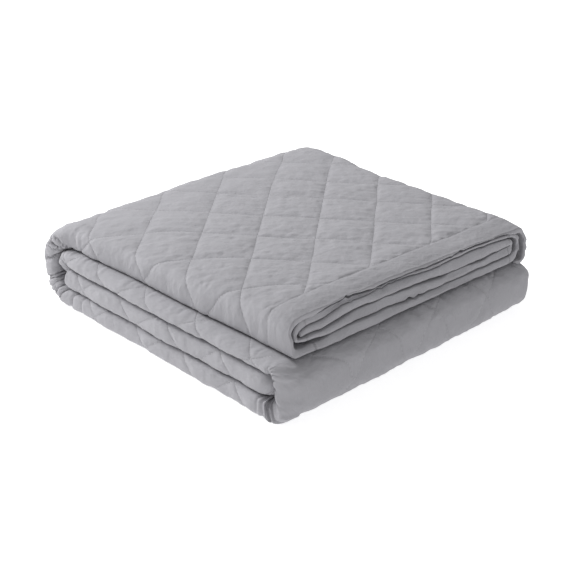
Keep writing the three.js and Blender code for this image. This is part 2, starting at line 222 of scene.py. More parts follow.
# Creases across the left turns: the part of the stack, where in it at the turn's outer and inner edge,
# depth, width
PLEATS = [
    (TOP_RUN, 0.955, 0.96, 0.8, 1.6),
    (TOP_RUN, 0.985, 0.98, 1.0, 1.6),
    (BACK_BEND, 0.42, -0.12, 3.4, 1.5),
    (BACK_BEND, 0.55, -0.02, 4.4, 1.6),
    (BACK_BEND, 0.47, 0.22, 2.4, 1.1),
    (BACK_BEND, 0.585, 0.37, 4.6, 1.5),
    (BACK_BEND, 0.63, 0.632, 3.0, 0.9),
    (BACK_BEND, 0.65, 0.68, 3.2, 0.9),
    (BACK_BEND, 0.72, 0.75, 2.0, 1.0),
    (BACK_BEND, 0.76, 0.85, 4.4, 1.4),
    (BACK_BEND, 0.80, 1.0, 4.0, 1.3),
    (INNER_BEND, 0.50, 0.50, 2.5, 1.4),
    (INNER_BEND, 0.3, 0.3, 1.4, 1.2),
    (INNER_BEND, 0.15, 0.12, 1.2, 1.2),
    (LOW_RUN, 0.0, 0.045, 3.0, 1.3),
    (LOW_RUN, 0.07, 0.09, 1.2, 1.2),
    (LOW_RUN, 0.968, 0.975, 1.8, 1.6),
    (LOW_RUN, 0.992, 0.995, 4.0, 1.8),
    (FRONT_BEND, 0.07, 0.045, 4.4, 1.8),
    (FRONT_BEND, 0.16, 0.11, 4.0, 1.6),
    (FRONT_BEND, 0.26, 0.20, 3.0, 1.4),
    (FRONT_BEND, 0.36, 0.32, 1.6, 1.0),
    (FRONT_BEND, 0.44, 0.42, 1.5, 0.9),
    (FRONT_BEND, 0.51, 0.5, 1.8, 0.9),
    (FRONT_BEND, 0.58, 0.58, 1.4, 0.9),
    (FRONT_BEND, 0.66, 0.67, 1.8, 0.9),
    (FRONT_BEND, 0.73, 0.75, 1.5, 0.9),
    (FRONT_BEND, 0.81, 0.84, 1.6, 1.0),
    (FRONT_BEND, 0.91, 0.94, 1.6, 1.4),
]
PLEAT_DEEPEST = 3.2  # except at the back
PLEAT_START = (92, 125)  # degrees round the turn where a pleat comes in
PLEAT_START_FRONT = (128, 158)  # the same on the front bend above its lowest pleats
PLEAT_LOWEST = 0.3  # the lowest pleats start before this part of the bend

# Where each run and bend starts, measured along the strip's outer face
start = 0.0
for i, piece in enumerate(STACK):
    if piece["kind"] == "bend":
        before, after = STACK[i - 1], STACK[i + 1]
        piece["level"] = (before["level"] + after["level"]) / 2
        piece["radius"] = abs(before["level"] - after["level"]) / 2
        piece["length"] = math.pi * (piece["radius"] + STRIP)
        for edge in EDGES:
            piece[edge] = (before[edge][1], after[edge][0])
    else:
        piece["length"] = abs(piece["end"] - piece["begin"])
    piece["start"] = start
    start += piece["length"]
STARTS = np.array([piece["start"] for piece in STACK])
LENGTH = start


def lerp(a, b, t):
    return a + (b - a) * t


def smooth(x, low, high):
    t = np.clip((x - low) / (high - low), 0.0, 1.0)
    return t * t * (3 - 2 * t)


def bent(ratio, power):
    return np.sign(ratio) * np.abs(ratio) ** power


# Smooth noise from a fixed table. Here u / 8 makes waves of about 8 mm, and what is added to it picks
# another place in the table.
TABLE_SIZE = 256
TABLE = np.random.default_rng(11).uniform(-1, 1, (TABLE_SIZE, TABLE_SIZE))


def noise(u, v):
    u0, v0 = np.floor(u).astype(int), np.floor(v).astype(int)
    fu, fv = u - u0, v - v0
    fu, fv = fu ** 3 * (fu * (6 * fu - 15) + 10), fv ** 3 * (fv * (6 * fv - 15) + 10)

    def pick(i, j):
        return TABLE[(u0 + i) % TABLE_SIZE, (v0 + j) % TABLE_SIZE]

    return lerp(lerp(pick(0, 0), pick(1, 0), fu), lerp(pick(0, 1), pick(1, 1), fu), fv)


def noise_line(u, row):
    """Noise along one row of the table"""
    return noise(u, np.full_like(u, row))


def strip_at(along):
    """The strip at distances from its hem: its inner face, its outward direction and its edges"""
    index = np.clip(np.searchsorted(STARTS, along, side="right") - 1, 0, len(STACK) - 1)
    strip = {key: np.zeros_like(along) for key in EDGES + ("tuck", "y", "z", "out_y", "out_z", "part")}
    strip["piece"] = index
    for i, piece in enumerate(STACK):
        pick = index == i
        part = (along[pick] - piece["start"]) / piece["length"]
        strip["part"][pick] = part
        for key in EDGES:
            strip[key][pick] = lerp(piece[key][0], piece[key][1], np.clip(part, 0, 1))
        if piece["kind"] == "run":
            strip["y"][pick] = lerp(piece["begin"], piece["end"], part)
            strip["z"][pick] = piece["level"]
            strip["out_z"][pick] = piece["facing"]
            continue
        round_the_bend = np.sin(math.pi * part)
        strip["tuck"][pick] = piece["tuck"] * round_the_bend
        for key in ("square", "under"):
            strip[key][pick] = lerp(strip[key][pick], piece["corner"], round_the_bend)
        slow_ends = lerp(part, part * part * (3 - 2 * part), 1 - piece["path"])
        angle = np.radians(piece["angle"] - 180 * slow_ends)
        strip["out_y"][pick] = bent(np.cos(angle), piece["path"])
        strip["out_z"][pick] = bent(np.sin(angle), piece["path"])
        strip["y"][pick] = piece["centre"] + piece["radius"] * strip["out_y"][pick]
        strip["z"][pick] = piece["level"] + piece["radius"] * strip["out_z"][pick]
    wander_edges(strip, along)
    return strip


def wander_edges(strip, along):
    """Moves the strip's left and right edges to where they lie in the loose stack"""
    waver = WAVER * (np.sin(along / 31) + 0.6 * np.sin(along / 13.7 + 1))
    inner_end = np.clip((along - (LENGTH - INNER_ROUND)) / INNER_ROUND, 0, 0.999)
    inner_start, inner_length = STACK[INNER_BEND]["start"], STACK[INNER_BEND]["length"]
    fold = inner_start + inner_length / 2
    drawn_in = DRAWN_IN * (1 - smooth(np.abs(along - fold), *DRAWN_IN_NEAR))
    front = STACK[FRONT_BEND]["start"]
    near_corner = (smooth(along, front - CORNER_BEFORE, front)
                   * (1 - smooth(along, front, front + CORNER_AFTER)))
    rounded_end = INNER_ROUND * (1 - np.sqrt(1 - inner_end ** 2))
    strip["left"] += waver + rounded_end + drawn_in - CORNER_WIDER * near_corner
    round_inner = np.clip((along - inner_start) / inner_length, 0, 1)
    tucked = sum(share * smooth(round_inner, low, high) for share, low, high in TUCK_STEPS)
    strip["left"] += TUCK_IN * (tucked * (1 - smooth(round_inner, *TUCK_ENDS)))
    back = BACK - HEM_END
    flare = smooth(along, *FLARE_RISE) * (1 - smooth(along, back, back + FLARE_FADE))
    top_of_bend = front + STACK[FRONT_BEND]["length"]
    rounded = smooth(along, lerp(front, top_of_bend, 0.5), top_of_bend)
    rounded = rounded * (1 - smooth(along, top_of_bend, top_of_bend + RIGHT_ROUND_BACK))
    strip["right"] += FLARE * flare - waver - RIGHT_ROUND * rounded


def corner_pull(x, part):
    """How much of the front fold's depth is left towards its left edge"""
    inside = np.clip((x - CORNER_EDGE) / CORNER_ROUND, 0, 1)
    least = lerp(CORNER_LOW, CORNER_LEAST, smooth(part, *CORNER_RISE))
    return lerp(least, 1, np.sqrt(1 - (1 - inside) ** 2))


def slant(x, along):
    return HEM_SLANT * x * np.clip(1 - along / STACK[TOP_RUN]["length"], 0, 1)


def turn_power(angle, square, under):
    return lerp(square, under, smooth(angle, *HALVES_MEET))


def turn_places(part, along, wide, radius, square, under):
    """Even steps round a left turn: each point's angle, and its way round from the turn's start"""
    _, first, row = np.unique(along, return_index=True, return_inverse=True)
    even = np.linspace(0, 1, TURN_SAMPLES)
    grid = math.pi * (0.5 + even - np.sin(4 * math.pi * even) / (4 * math.pi))
    power = turn_power(grid, square[first, None], under[first, None])
    around = (wide[first, None] + CLOTH / 2) * bent(np.cos(grid), power)
    outward = (radius + CLOTH / 2) * bent(np.sin(grid), power)
    way = np.zeros_like(around)
    way[:, 1:] = np.cumsum(np.hypot(np.diff(around), np.diff(outward)), axis=1)
    here = part * way[row, -1]
    apart = 1000.0  # more than any way round, so that one table holds all the rows
    angle = np.interp(here + apart * row, (way + apart * np.arange(len(way))[:, None]).ravel(),
                      np.tile(grid, len(way)))
    return angle, here


def hem_layers(x, depth, share):
    """Depth in the strip with its layers moved to their uneven places at the hem's end"""
    columns = np.array(HEM_GAPS, float).T
    gaps = np.stack([np.zeros_like(x)] + [np.interp(x, columns[0], gap) for gap in columns[1:]]
                    + [np.full_like(x, STRIP)])
    layer = np.clip(np.floor(depth / LAYER).astype(int), 0, LAYERS - 1)
    item = np.arange(len(x))
    inside = depth / LAYER - layer
    pressed = np.where(layer == PRESSED_LAYER, PRESSED_BY * inside, 0)
    placed = lerp(gaps[layer, item], gaps[layer + 1, item], inside) - pressed
    return lerp(depth, placed, share)


def section(sigma, side, strip, along):
    """Place in the strip's section, with the sheet's own coordinate across and the turn's angle"""
    index = np.clip(np.floor(sigma).astype(int), 0, INNERMOST)
    part = sigma - index
    lip = np.clip(1 - along / HEM_LIP, 0, 1)
    thick = (CLOTH + HEM_THICKER * (1 - smooth(along, 0, HEM))) * (1 - HEM_LIP_THINNER * lip ** 2)
    offset = side * thick / 2
    x = np.zeros_like(sigma)
    depth = np.zeros_like(sigma)
    across = np.zeros_like(sigma)
    theta = np.full_like(sigma, math.pi / 2)
    slack = 1 - smooth(along, 0, HEM_SLACK)
    for i, (kind, where, level, turns, begin, end, _) in enumerate(ROLL):
        pick = index == i
        left, right = strip["left"][pick], strip["right"][pick]
        if i >= UNDER:
            right = right - SHORTER_RIGHT * slack[pick]
        if i >= INNER:
            left = left - (LONGEST_LEFT if i == INNERMOST else LONGER_LEFT) * slack[pick]
        if kind == "flat":
            up = 1 if where == "left" else -1
            x[pick] = lerp(right, left, part[pick]) if up > 0 else lerp(left, right, part[pick])
            depth[pick] = level * LAYER + up * offset[pick]
            across[pick] = x[pick] if i == TOP else up * x[pick] - SHEET_APART * i
            continue
        first = begin
        if i == DROOP:
            curled = EDGE_CURL * (1 - smooth(along[pick], *EDGE_CURL_BACK))
            first = begin - curled + EDGE_WAVER * noise_line(along[pick] / 37, 7)
        radius = turns * LAYER
        if where == "left":
            centre = left
            wide = radius * strip["reach"][pick] - strip["tuck"][pick]
            square, under = strip["square"][pick], strip["under"][pick]
            angle, way = turn_places(part[pick], along[pick], wide, radius, square, under)
            power = turn_power(angle, square, under)
        else:
            centre = right
            angle = np.radians(lerp(first, end, part[pick]))
            wide = radius * (1 + (WIDER_RIGHT * slack[pick] if i > DROOP else 0))
            way = (angle - math.pi / 2) * radius
            power = 1.0
        out_x, outward = bent(np.cos(angle), power), bent(np.sin(angle), power)
        x[pick] = centre + (wide + offset[pick]) * out_x
        depth[pick] = level * LAYER + (radius + offset[pick]) * outward
        across[pick] = centre - way - (SHEET_APART * i if i > SHOULDER else 0)
        theta[pick] = angle
    from_left = smooth(x - strip["left"], 0, TURN_BLEND)
    from_right = smooth(strip["right"] - x, 0, TURN_BLEND)
    share = np.where(index == TOP, from_left * from_right,
                     np.where(index == UNDER, from_left, index > UNDER))
    level = depth / LAYER
    depth = hem_layers(x, depth, slack * share)
    in_bend = np.sin(math.pi * np.clip(strip["part"], 0, 1)) ** 0.6
    inward = np.where(strip["piece"] == FRONT_BEND, CORNER_LEAN, 0) * in_bend
    x = x + inward * (1 - depth / STRIP) * smooth(-x, *CORNER_LEAN_X)
    return index, x, depth, level, across, theta


def settled(x, y, z):
    """The stack's settled height over a point, from the height it would have if it lay even"""
    across = np.clip((x + HALF_X) / (2 * HALF_X), 0, 1)
    back = np.clip((y + HALF_Y) / (2 * HALF_Y), 0, 1)
    heights = [lerp(lerp(SETTLED["front_left"][i], SETTLED["front_right"][i], across),
                    lerp(SETTLED["back_left"][i], SETTLED["back_right"][i], across), back)
               for i in range(len(EVEN))]
    heights[4] = heights[4] - HEM_DROP * (1 - smooth(y, HEM_END, HEM_END + HEM_DROP_BACK))
    height = np.where(z >= EVEN[4], heights[4] + z - EVEN[4], 0.0)
    for i in range(4):
        low = -1e9 if i == 0 else EVEN[i]
        inside = (z >= low) & (z < EVEN[i + 1])
        level = lerp(heights[i], heights[i + 1], (z - EVEN[i]) / (EVEN[i + 1] - EVEN[i]))
        height = np.where(inside, level, height)
    return np.maximum(height, 0.0)


# Mesh over the folds: cells of the section by cells of the length, finer where the cloth is seen. The
# section's outline goes in along the outer side of the cloth and back along its inner side.

FINE = 32  # the finest cut of a cell
CAP_STEPS = 4  # cuts across the cloth's thickness at its ends
BESIDE_BEND = 30.0  # length of the cells beside a bend
EDGE_CELL = 2.0  # length of the first cells at the hem
marks = [i + part / steps for i, (*_, steps) in enumerate(ROLL) for part in range(steps)] + [LAST_SIGMA]
COUNT = len(marks)
AROUND = 2 * COUNT
stops = [0.0, EDGE_CELL, HEM]
kinds = [(TOP_RUN, "edge"), (TOP_RUN, "hem")]
for i, piece in enumerate(STACK):
    low, high = 0.0, piece["length"]
    cuts = []
    if i == TOP_RUN:
        low = HEM
    elif piece["kind"] == "run":
        cuts, low, high = [BESIDE_BEND], BESIDE_BEND, high - BESIDE_BEND
    cuts += [lerp(low, high, step / piece["steps"]) for step in range(1, piece["steps"] + 1)]
    if high < piece["length"]:
        cuts.append(piece["length"])
    for cut in cuts:
        short = piece["kind"] == "run" and i != TOP_RUN and cut in (cuts[0], cuts[-1])
        stops.append(piece["start"] + cut)
        kinds.append((i, "short" if short else "plain"))
ROWS = len(kinds)
CUTS_ALONG = {"edge": 4, "hem": 16, "plain": 32, "short": 32}
CUTS_ALONG_BEND = 8


def cell_steps(k, j):
    """How finely a cell is cut, across and along, in powers of two"""
    piece, zone = kinds[j]
    if k in (COUNT - 1, AROUND - 1):
        return CAP_STEPS, (4 if k == AROUND - 1 else 1)
    outer = k < COUNT - 1
    mark = marks[k] if outer else marks[AROUND - 2 - k]
    stretch = int(mark + 1e-6)
    along = CUTS_ALONG_BEND if STACK[piece]["kind"] == "bend" else CUTS_ALONG[zone]
    ahead = (stops[j + 1] - STACK[piece]["start"]) / STACK[piece]["length"]
    if outer and stretch == TOP:
        if piece == TOP_RUN:
            return (32 if ahead < 0.9 else 16), (along if ahead < 0.75 else 16)
        if piece == FRONT_BEND:
            return (32 if ahead > 0.8 else 16), along
        if piece == BACK_BEND:
            return (16 if ahead < 0.4 else 8), along
    if outer and stretch == SHOULDER:
        if piece == TOP_RUN:
            return (8 if mark < 2.6 else 4), along
        if STACK[piece]["kind"] == "bend":
            return 4, 16
        end_of_turn = k - marks.index(2.0) in (0, ROLL[SHOULDER][-1] - 1)
        return (2 if end_of_turn else 4), along
    if outer and stretch == DROOP:
        return 4, min(along, 16 if piece == TOP_RUN else 4)
    if outer and stretch == RIGHT_TURN:
        return 2, 4
    if zone == "edge":
        return (32 if ROLL[stretch][0] == "flat" else 4), 2
    return 1, 1


# How finely the edges between the cells are cut: as the finer of the two cells beside each
size = np.array([[cell_steps(k, j) for j in range(ROWS)] for k in range(AROUND)])
flat_edges = np.zeros((AROUND, ROWS + 1), int)
flat_edges[:, :ROWS] = size[:, :, 0]
flat_edges[:, 1:] = np.maximum(flat_edges[:, 1:], size[:, :, 0])
for j in (0, ROWS):
    for m in range(COUNT - 1):
        most = max(flat_edges[m, j], flat_edges[AROUND - 2 - m, j])
        flat_edges[m, j] = flat_edges[AROUND - 2 - m, j] = most
long_edges = np.maximum(size[:, :, 1], np.roll(size[:, :, 1], 1, axis=0))

ids = {}
polygons = []


def point(kk, jj):
    return ids.setdefault((kk % (AROUND * FINE), jj), len(ids))


def cap_point(end, mm, g):
    """A point of a cut end, from the outer side (g = 0) to the inner side (g = FINE)"""
    jj = end * FINE
    if g == 0:
        return point(mm, jj)
    if g == FINE:
        return point((AROUND - 1) * FINE - mm, jj)
    if mm == 0:
        return point((AROUND - 1) * FINE + FINE - g, jj)
    if mm == (COUNT - 1) * FINE:
        return point((COUNT - 1) * FINE + g, jj)
    return ids.setdefault(("cap", end, mm, g), len(ids))


for j in range(ROWS):
    for k in range(AROUND):
        across, along = size[k, j]
        du, dv = FINE // across, FINE // along
        low, high = FINE // flat_edges[k, j], FINE // flat_edges[k, j + 1]
        near, far = FINE // long_edges[k, j], FINE // long_edges[(k + 1) % AROUND, j]
        for a in range(across):
            for b in range(along):
                k0, k1 = k * FINE + a * du, k * FINE + (a + 1) * du
                j0, j1 = j * FINE + b * dv, j * FINE + (b + 1) * dv
                step = near if a == 0 else dv
                ring = [point(k0, jj) for jj in range(j0, j1, step)]
                step = high if b == along - 1 else du
                ring += [point(kk, j1) for kk in range(k0, k1, step)]
                step = far if a == across - 1 else dv
                ring += [point(k1, jj) for jj in range(j1, j0, -step)]
                step = low if b == 0 else du
                ring += [point(kk, j0) for kk in range(k1, k0, -step)]
                polygons.append(ring)

for end in (0, ROWS):
    for m in range(COUNT - 1):
        step = FINE // flat_edges[m, end]
        for mm in range(m * FINE, (m + 1) * FINE, step):
            for g in range(0, FINE, FINE // CAP_STEPS):
                more = g + FINE // CAP_STEPS
                ring = [cap_point(end, mm, g), cap_point(end, mm + step, g),
                        cap_point(end, mm + step, more), cap_point(end, mm, more)]
                polygons.append(ring if end == 0 else ring[::-1])

outline_sigma = np.array(marks + marks[::-1] + marks[:1])
outline_side = np.array([1.0] * COUNT + [-1.0] * COUNT + [1.0])
sigma = np.empty(len(ids))
side = np.empty(len(ids))
along = np.empty(len(ids))
for key, n in ids.items():
    if key[0] == "cap":
        _, end, mm, g = key
        m, f = divmod(mm, FINE)
        sigma[n] = lerp(marks[m], marks[m + 1], f / FINE)
        side[n] = bent(1 - 2 * g / FINE, 0.25)
        along[n] = stops[end]
        continue
    k, f = divmod(key[0], FINE)
    sigma[n] = lerp(outline_sigma[k], outline_sigma[k + 1], f / FINE)
    side[n] = lerp(outline_side[k], outline_side[k + 1], f / FINE)
    j, f = divmod(key[1], FINE)
    along[n] = stops[j] if f == 0 else lerp(stops[j], stops[j + 1], f / FINE)

# Rounded edges: the two ends in millimetres, the free edge and the inner edge in parts of a stretch
HEM_BULGE, INNER_BULGE, FREE_BULGE, INSIDE_BULGE = 1.0, 1.6, 0.06, 0.004
bulge = 1 - side ** 2
at_hem = along <= 0.0
at_inner = along >= LENGTH - 1e-6
where = along.copy()
where[at_hem] -= HEM_BULGE * (1 - side ** 4)[at_hem]
where[at_inner] += INNER_BULGE * bulge[at_inner]
sigma_round = (sigma - np.where(sigma <= 0.0, FREE_BULGE * bulge, 0.0)
               + np.where(sigma >= LAST_SIGMA - 1e-9, INSIDE_BULGE * bulge, 0))

# Places in the stack
strip = strip_at(where)
piece, part = strip["piece"], strip["part"]
on_top, on_front = piece == TOP_RUN, piece == FRONT_BEND
index, x, depth, level, across, theta = section(sigma_round, side, strip, where)


def at_corner(amount, x_range, comes, goes):
    return amount * smooth(-x, *x_range) * smooth(part, *comes) * (1 - smooth(part, *goes))


y = strip["y"] + depth * strip["out_y"]
z = strip["z"] + depth * strip["out_z"]
y = np.where(on_front, FRONT + (y - FRONT) * corner_pull(x, part), y)
y = y + np.where(on_front, at_corner(*CORNER_BACK), 0)
z = np.where(on_front, np.maximum(z - at_corner(*CORNER_PRESS), PRESSED_LEAST * z), z)
y = y - BACK_SLANT * smooth(x, *BACK_SLANT_X) * smooth(y, *BACK_SLANT_Y)
loose = np.where(on_top, 1 - smooth(where, 0, HEM_LOOSE), 0)
to_and_fro = HEM_WAVE * np.sin(x / 80 + depth / 12)
y = y + np.where(on_top, slant(x, where), 0) + loose * (to_and_fro + HEM_LEAN * depth / STRIP)
reaching = np.clip((where - (LENGTH - INNER_REACH_FROM)) / INNER_REACH_FROM, 0, 1.1)
y = y - INNER_REACH * reaching * np.clip(1 - ((depth - STRIP / 2) / (STRIP / 2)) ** 2, 0, 1)
z = settled(x, y, z)
z = z - BACK_SAG * smooth(-x, *BACK_SAG_X) * smooth(y, *BACK_SAG_Y) * smooth(z, *BACK_SAG_Z)

# Uneven ends of the layers at the hem: to and fro, and up and down
SET_BACK_SLOW, SET_BACK_QUICK = 1.6, 0.5
RAISED_ALL, RAISED_EACH = 1.0, 0.5
ragged = np.where(on_top, 1 - smooth(where, 0, HEM_RAGGED), 0)
set_back = np.interp(level, HEM_LEVELS, HEM_BACK) + SET_BACK_SLOW * noise(x / 37 + 3, level * 2.3)
set_back = set_back + SET_BACK_QUICK * noise(x / 6.5, level * 1.7)
y = y + ragged * set_back
z = z + ragged * (RAISED_ALL * noise_line(x / 31 + 17, 4)
                  + RAISED_EACH * noise(x / 13 + 40, level * 0.9) * smooth(level, 0, 1))
for kink_depth, kink_x, kink_size, kink_width in KINKS:
    near = np.exp(-((x - kink_x) / kink_width) ** 2 - ((depth - kink_depth) / KINK_DEPTH) ** 2)
    z = z + ragged * kink_size * near

# The sheet's own coordinates and the diamonds on it: whole numbers of p are B seams, of q A seams
ahead = HEM_END + where + np.where(on_top, slant(across, where), 0)
det = STEP_A[0] * STEP_B[1] - STEP_A[1] * STEP_B[0]
dx, dy = across - CROSSING[0], ahead - CROSSING[1]
p = (dx * STEP_B[1] - dy * STEP_B[0]) / det
q = (dy * STEP_A[0] - dx * STEP_A[1]) / det
LENGTH_A, LENGTH_B = math.hypot(*STEP_A), math.hypot(*STEP_B)
APART_A, APART_B = det / LENGTH_A, det / LENGTH_B


def uneven(steps, lines, apart):
    """Steps between seams that lie off their even places"""
    numbers, shifts = np.array(lines).T
    return steps - np.interp(steps, numbers + shifts / apart, shifts) / apart


p = p + SEAM_TURN * smooth(-across, *SEAM_TURN_ACROSS) * np.where(index <= SHOULDER, 1, 0)
p = uneven(p, UNEVEN_B, APART_B) + SEAM_WANDER * noise(across / 41 + 70, ahead / 41 + 20)
q = uneven(q, UNEVEN_A, APART_A) + SEAM_WANDER * noise(across / 41 + 10, ahead / 41 + 90)
to_b = np.abs(p - np.round(p)) * APART_B
to_a = np.abs(q - np.round(q)) * APART_A

# How much of the quilting shows at each point: on the top, round the back, on the front panel, and where
# the strip's own turns face sideways, on the cloth's outer side
BARE_BACK, BARE_FRONT = (-0.95, -0.5), (0.3, 0.8)
SIDEWAYS = (0.3, 0.8)
OUTER_SIDE = (0.4, 1.0)
bare = np.where(on_top, 1.0, 0.0)
bare = np.where(piece == BACK_BEND, smooth(strip["out_z"], *BARE_BACK), bare)
bare = np.where(on_front, smooth(-strip["out_y"], *BARE_FRONT), bare)
sideways = smooth(np.abs(np.cos(theta)), *SIDEWAYS)
in_turn = np.maximum(sideways, bare * np.maximum(np.sin(theta), 0))
shown = np.where(index == TOP, bare, np.where(index <= SHOULDER, in_turn, 0))
shown = shown * smooth(side, *OUTER_SIDE)

# Pads between the seams, the seams' grooves and the hem
PUFF = 2.2  # rise of a pad
PUFF_QUICK, PUFF_SLOW, PUFF_REACH = 0.55, 0.45, 7.0  # shares that rise beside the seam and over the pad
SEAM = 0.55  # depth of a groove
SEAM_A_WIDTH, SEAM_B_WIDTH, SEAM_ROUND = 1.7, 1.6, 0.6
SEAM_B_FLOOR, SEAM_B_DEPTH = 0.1, 0.9  # a B seam's groove is a little shallower than an A seam's
HEM_SEAM = 0.6
HEM_PAD = 1.1
HEM_PAD_FRONT, HEM_PAD_BACK = (0, 10), (HEM - 2, HEM + 28)
QUILT_FROM_HEM = (-2, 22)
PLUMP_EDGE, PLUMP_ROLL, PLUMP_FRONT, PLUMP_ELSEWHERE = 0.4, 0.35, 0.3, 0.4  # shares of the rise
PLUMP_SHOULDER, PLUMP_TURNED_LESS = 0.5, 0.35
PLUMP_BACK_LESS, PLUMP_BACK = 0.5, (315, 353)
TURNED = (math.radians(95), math.radians(160))
SEAM_FRONT, SEAM_TOP, SEAM_SHOULDER, SEAM_ROLL = 0.85, 1.0, 1.5, 1.2  # shares of the groove
SEAM_CORNER_X = (-172, -125)  # the seams fade towards the near corner


def rise(distance, half):
    quick = 1 - np.exp(-distance / PUFF_REACH)
    return PUFF_QUICK * quick + PUFF_SLOW * np.sin(0.5 * math.pi * np.minimum(distance / half, 1))


def groove(distance, width):
    soft = np.sqrt(distance ** 2 + SEAM_ROUND ** 2) - SEAM_ROUND
    return 1 - np.exp(-soft / width)


in_shoulder = index == SHOULDER
turned = smooth(theta, *TURNED)
plump_top = 1.0 - PLUMP_BACK_LESS * smooth(where, *PLUMP_BACK)
plump_shoulder = plump_top * (PLUMP_SHOULDER - PLUMP_TURNED_LESS * turned)
plump = np.select([index == DROOP, in_shoulder & ~on_top, in_shoulder, on_front, on_top],
                  [PLUMP_EDGE, PLUMP_ROLL, plump_shoulder, PLUMP_FRONT, plump_top],
                  PLUMP_ELSEWHERE)
inside_hem = smooth(where - HEM, *QUILT_FROM_HEM)
quilt = PUFF * plump * rise(to_a, APART_A / 2) * rise(to_b, APART_B / 2) * inside_hem
seam_a = np.where(where > HEM, groove(to_a, SEAM_A_WIDTH), 1)
seam_b = np.where(where > HEM, groove(to_b, SEAM_B_WIDTH), 1)
seam_share = np.select([on_front & (index == TOP), on_top & (index == TOP), on_top],
                       [SEAM_FRONT, SEAM_TOP, SEAM_SHOULDER], SEAM_ROLL)
seam_share = seam_share * np.where(on_front & (index <= SHOULDER), smooth(x, *SEAM_CORNER_X), 1)
quilt = quilt + SEAM * seam_share * (np.minimum(seam_a, SEAM_B_FLOOR + SEAM_B_DEPTH * seam_b) - 1)
hem_band = (1 - smooth(where, *HEM_PAD_BACK)) * smooth(where, *HEM_PAD_FRONT)
from_stitching = np.abs(where - HEM)
quilt = quilt + HEM_SEAM * (groove(from_stitching, SEAM_B_WIDTH) - 1) + HEM_PAD * hem_band

# Puckers beside the seams, crinkles over the pads, and slow unevenness
PUCKER_A, PUCKER_B, PUCKER_HEM = 0.95, 0.6, 0.9
PUCKER_A_REACH, PUCKER_B_REACH = 7, 6
PUCKER_HEM_REACH, PUCKER_HEM_FRONT = 16, 6  # behind and before the hem's stitching
PUCKER_TURN = 0.5  # share that is left on the strip's own turns
PUCKER_FROM = 20  # from the hem's edge
HELD_NEAR, HELD_NEAR_HEM = (0.5, 4), (0.5, 4.5)  # the thread holds the cloth flat beside a seam
HELD_LEAST = 0.25
CRINKLE_LONG, CRINKLE_FINE, CRINKLE_ROUND = 0.45, 0.35, 0.5
CALM_TURNED, CALM_HEM, CALM_INSIDE = 0.5, 0.45, 0.55
SLOW_WIDE, SLOW_NEAR, SLOW_ROLL = 1.1, 0.5, 0.35
RIPPLE = 0.2  # across the turns
GATHERS_FRONT = 2.0  # on the front panel, under the top strip
GATHERS_PART, GATHERS_X = (0.62, 0.85), (-150, -100)
side_a = np.round(q) * 7.3 + np.sign(q - np.round(q)) * 2.1
side_b = np.round(p) * 5.7 + np.sign(p - np.round(p)) * 3.3
held_flat = smooth(to_a, *HELD_NEAR) * smooth(to_b, *HELD_NEAR)
pucker = PUCKER_A * np.exp(-to_a / PUCKER_A_REACH) * noise(p * LENGTH_A / 5.0, side_a + 40)
pucker += PUCKER_B * np.exp(-to_b / PUCKER_B_REACH) * noise(q * LENGTH_B / 5.5, side_b + 90)
pucker *= held_flat
pucker *= np.where(index == TOP, 1.0, PUCKER_TURN)
beyond_hem = from_stitching / np.where(where > HEM, PUCKER_HEM_REACH, PUCKER_HEM_FRONT)
hem_pucker = PUCKER_HEM * np.exp(-beyond_hem) * noise(across / 5.5, np.sign(where - HEM) + 130)
pucker += hem_pucker * smooth(from_stitching, *HELD_NEAR_HEM)
over, beside = p * APART_B, q * LENGTH_B
crinkle = (CRINKLE_LONG * noise(over / 8, beside / 34)
           + CRINKLE_FINE * noise(over / 4.2 + 50, beside / 18 + 9))
crinkle += CRINKLE_ROUND * noise(across / 7 + 31, ahead / 7 + 77)
slow = (SLOW_WIDE * noise(across / 80 + 11, ahead / 80 + 3)
        + SLOW_NEAR * noise(across / 33 + 5, ahead / 33 + 61))
slow *= np.where(in_shoulder, SLOW_ROLL, 1.0)
ripple = RIPPLE * turned * noise(where / 4.6, theta * 0.9 + 55) * np.where(in_shoulder, 1, 0)
under_top = smooth(part, *GATHERS_PART) * smooth(x, *GATHERS_X)
gathered = np.where(on_front & (index == TOP), under_top, 0)
in_groups = smooth(noise_line(across / 40, 8), -0.4, 0.4)
ripple = ripple + GATHERS_FRONT * gathered * noise_line(across / 6.5 + 8, 3) * in_groups
calm = (1 - CALM_TURNED * turned) * (CALM_HEM + CALM_INSIDE * smooth(where, HEM - 4, HEM + 4))
crinkle = crinkle * calm * (HELD_LEAST + (1 - HELD_LEAST) * held_flat)
lift = shown * (quilt + pucker * smooth(where, PUCKER_FROM, HEM) + crinkle + slow + ripple)

# Puckers along the creases between the rolls
CRIMP, CRIMP_GATHERS, CRIMP_UNEVEN = 0.7, 0.9, 0.2
CRIMP_BACK = 0.3  # share of the gathers that is left round the back bend
CRIMP_TOP_FROM = 2.2  # radians round the top strip's turn
TOP_LOWER_RISE = 0.8  # fills the top strip's turn out towards the strip below
TOP_LOWER = (math.radians(195), math.radians(230))
in_roll = in_shoulder & (side > 0.9)
creased = smooth(np.abs(np.sin(theta)), 0.5, 0.95)
lower = np.where(theta > math.pi, 1.0, 0.0)
tame = np.where(piece == BACK_BEND, CRIMP_BACK, 1.0)
in_groups = smooth(noise(where / 23 + 9, piece + lower * 7.0), -0.3, 0.5)
gathers = noise(where / 4.2, piece * 3.7 + lower * 1.9) * in_groups
crimp = (CRIMP * creased + CRIMP_GATHERS * tame * creased * gathers
         + CRIMP_UNEVEN * noise(where / 17, theta * 1.2 + piece))
lift = lift + np.where(in_roll & ~(on_top & (theta < CRIMP_TOP_FROM)), crimp, 0)
lift = lift + np.where(in_roll & on_top, TOP_LOWER_RISE * smooth(theta, *TOP_LOWER), 0)

